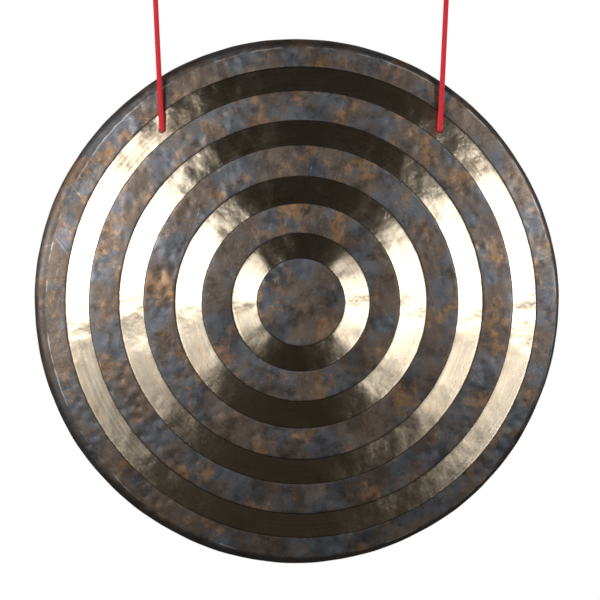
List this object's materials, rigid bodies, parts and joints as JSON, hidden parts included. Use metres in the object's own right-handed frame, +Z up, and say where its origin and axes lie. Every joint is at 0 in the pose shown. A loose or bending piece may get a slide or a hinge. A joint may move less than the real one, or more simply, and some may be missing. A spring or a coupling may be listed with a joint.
{
  "type": "wind_gong",
  "caption": "Dished bronze wind gong with lathed concentric bands, hung from two red cords knotted through holes near its rim, each cord tied to a steel S-hook",
  "frame": {"origin": "midway between the two S-hooks, at the height of the tops of the bar spaces in their upper bends", "axes": "+Z up, the struck face looks along -Y, +X to the right as seen from in front"},
  "size_m": [0.61, 0.0688, 0.7942],
  "materials": {
    "patinated_bronze": "hammered and patinated bronze with four bright lathed bands",
    "red_braid": "braided red cord",
    "zinc_plated_steel": "bright zinc-plated round wire"
  },
  "bodies": {
    "hooks": {"s_hook_left": "zinc_plated_steel", "s_hook_right": "zinc_plated_steel"},
    "cords": {"cord_left": "red_braid", "cord_right": "red_braid", "loop_knot_left": "red_braid", "loop_knot_right": "red_braid"},
    "gong": {"gong_plate": "patinated_bronze", "stopper_knot_left": "red_braid", "stopper_knot_right": "red_braid"}
  },
  "joints": [
    {"name": "cord_swing", "type": "hinge", "parent": "hooks", "child": "cords", "pos_m": [0, 0, -0.052], "axis": [1, 0, 0], "range_deg": [-25, 25]},
    {"name": "gong_tilt", "type": "hinge", "parent": "cords", "child": "gong", "pos_m": [0, 0, -0.282], "axis": [1, 0, 0], "range_deg": [-35, 5]}
  ]
}
